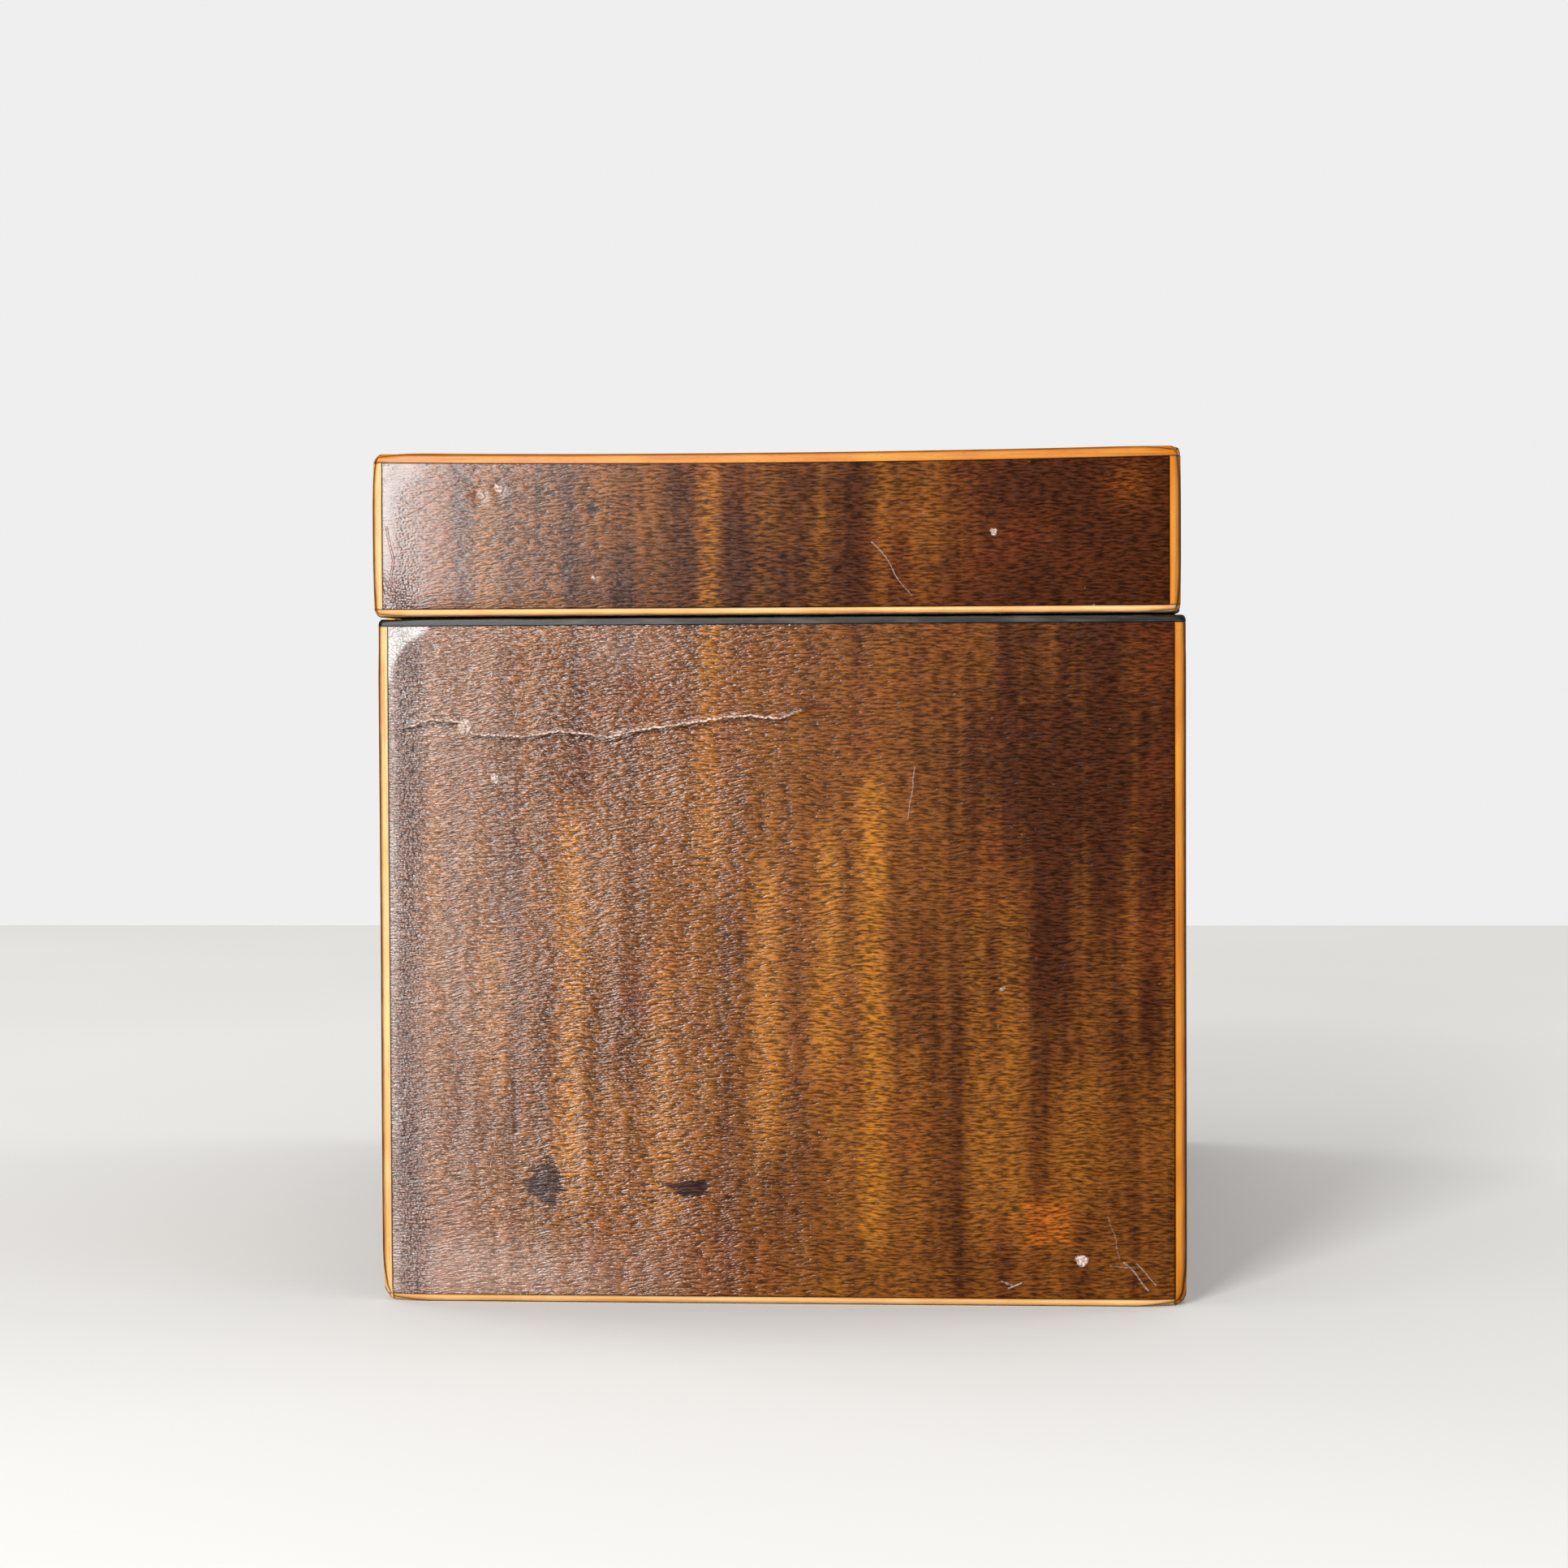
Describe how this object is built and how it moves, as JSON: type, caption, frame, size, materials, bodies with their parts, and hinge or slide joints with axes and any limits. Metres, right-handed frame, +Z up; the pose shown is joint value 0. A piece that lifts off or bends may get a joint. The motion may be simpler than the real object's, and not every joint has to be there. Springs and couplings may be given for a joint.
{
  "type": "tea caddy",
  "caption": "Rectangular veneered wooden box with a hinged lid, pale edged arrises, two foil-lined compartments under loose inner lids, and a box lock.",
  "frame": {"origin": "middle of the whole outline, hinge knuckles included, on the face that the box stands on", "axes": "+Z up, +X to the right along the front, -Y towards the keyhole, +Y towards the hinges"},
  "size_m": [0.188, 0.1234, 0.1268],
  "materials": {
    "dark_veneer": "French polished, worn",
    "pale_edging": "polished boxwood, yellowed",
    "black_facing": "ebonised and polished",
    "softwood": "bare, aged",
    "mahogany": "polished",
    "tin_foil": "dull, rubbed foil",
    "lining_paper": "matt, faded",
    "bone": "polished bone",
    "brass": "aged brass",
    "steel": "filed steel",
    "iron_screws": "darkened iron"
  },
  "bodies": {
    "caddy_body": {"body_veneer_front": "dark_veneer", "body_veneer_right": "dark_veneer", "body_veneer_back": "dark_veneer", "body_veneer_left": "dark_veneer", "body_edging_front_left": "pale_edging", "body_edging_front_right": "pale_edging", "body_edging_back_right": "pale_edging", "body_edging_back_left": "pale_edging", "base_edging": "pale_edging", "rim_facing_front": "black_facing", "rim_facing_right": "black_facing", "rim_facing_back": "black_facing", "rim_facing_left": "black_facing", "carcass_front": "softwood", "carcass_back": "softwood", "carcass_left": "softwood", "carcass_right": "softwood", "carcass_bottom": "softwood", "compartment_divider": "mahogany", "lining_boards_left": "mahogany", "lining_boards_right": "mahogany", "foil_lining_left": "tin_foil", "foil_lining_right": "tin_foil", "keyhole_escutcheon": "bone", "lock_case": "brass", "lock_selvedge": "brass", "lock_nails": "brass", "hinge_body_leaf_left": "brass", "hinge_body_leaf_right": "brass", "lock_key_pin": "steel", "hinge_pin_left": "steel", "hinge_pin_right": "steel", "hinge_body_screws": "iron_screws"},
    "lid": {"lid_veneer_front": "dark_veneer", "lid_veneer_right": "dark_veneer", "lid_veneer_back": "dark_veneer", "lid_veneer_left": "dark_veneer", "lid_veneer_top": "dark_veneer", "lid_edging_front_left": "pale_edging", "lid_edging_front_right": "pale_edging", "lid_edging_back_right": "pale_edging", "lid_edging_back_left": "pale_edging", "lid_lower_edging": "pale_edging", "lid_top_edging": "pale_edging", "lid_rail_front": "softwood", "lid_rail_back": "softwood", "lid_rail_left": "softwood", "lid_rail_right": "softwood", "lid_top_board": "softwood", "lid_lining": "lining_paper", "strike_plate": "brass", "hinge_lid_leaf_left": "brass", "hinge_lid_leaf_right": "brass", "hinge_lid_screws": "iron_screws", "strike_screws": "iron_screws"},
    "inner_lid_left": {"inner_lid_left": "mahogany", "inner_lid_knob_left": "bone"},
    "inner_lid_right": {"inner_lid_right": "mahogany", "inner_lid_knob_right": "bone"},
    "lock_bolt": {"lock_bolt": "steel"}
  },
  "joints": [
    {"name": "lid_hinge", "type": "hinge", "parent": "caddy_body", "child": "lid", "pos_m": [0, 0.05985, 0.10197], "axis": [-1, 0, 0], "range_deg": [0, 98]},
    {"name": "inner_lid_left_lift", "type": "slide", "parent": "caddy_body", "child": "inner_lid_left", "axis": [0, 0, 1], "range_m": [0, 0.009]},
    {"name": "inner_lid_right_lift", "type": "slide", "parent": "caddy_body", "child": "inner_lid_right", "axis": [0, 0, 1], "range_m": [0, 0.009]},
    {"name": "lock_bolt_slide", "type": "slide", "parent": "caddy_body", "child": "lock_bolt", "axis": [1, 0, 0], "range_m": [0, 0.0032]}
  ]
}
